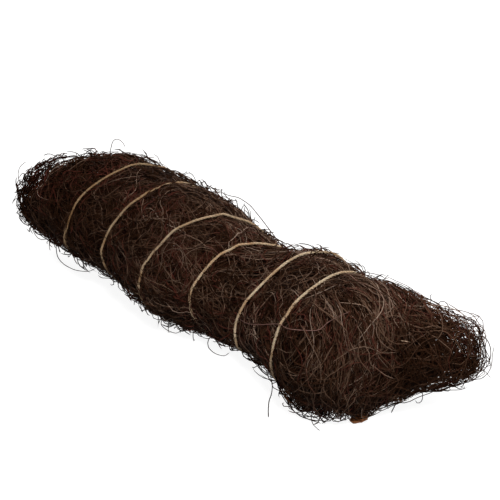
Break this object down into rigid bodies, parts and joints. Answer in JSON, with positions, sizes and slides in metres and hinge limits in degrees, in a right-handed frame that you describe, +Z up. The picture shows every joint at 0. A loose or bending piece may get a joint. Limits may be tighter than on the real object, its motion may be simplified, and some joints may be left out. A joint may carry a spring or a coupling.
{
  "type": "bundle of twigs",
  "caption": "Loose log-shaped bundle of fine dark wiry twigs, lashed by one jute twine wound round it in an open spiral, frayed at both ends.",
  "frame": {"origin": "on the surface the bundle lies on, under the middle of its bounding box", "axes": "+X along the bundle from its tight end to its loose flared end, +Y to its back, +Z up"},
  "size_m": [0.509, 0.1681, 0.1273],
  "materials": {
    "twig": "matte, dark brown, dry",
    "twine": "matte natural jute",
    "bark": "matte, orange-brown"
  },
  "bodies": {
    "root": {"twig_bundle": "twig", "binding_twine": "twine", "bark_chip": "bark", "stray_twig_01": "twig", "stray_twig_02": "twig", "stray_twig_03": "twig", "stray_twig_04": "twig", "stray_twig_05": "twig", "stray_twig_06": "twig", "stray_twig_07": "twig", "stray_twig_08": "twig", "stray_twig_09": "twig", "stray_twig_10": "twig", "stray_twig_11": "twig", "stray_twig_12": "twig", "stray_twig_13": "twig", "stray_twig_14": "twig", "stray_twig_15": "twig", "stray_twig_16": "twig", "stray_twig_17": "twig"}
  },
  "joints": []
}
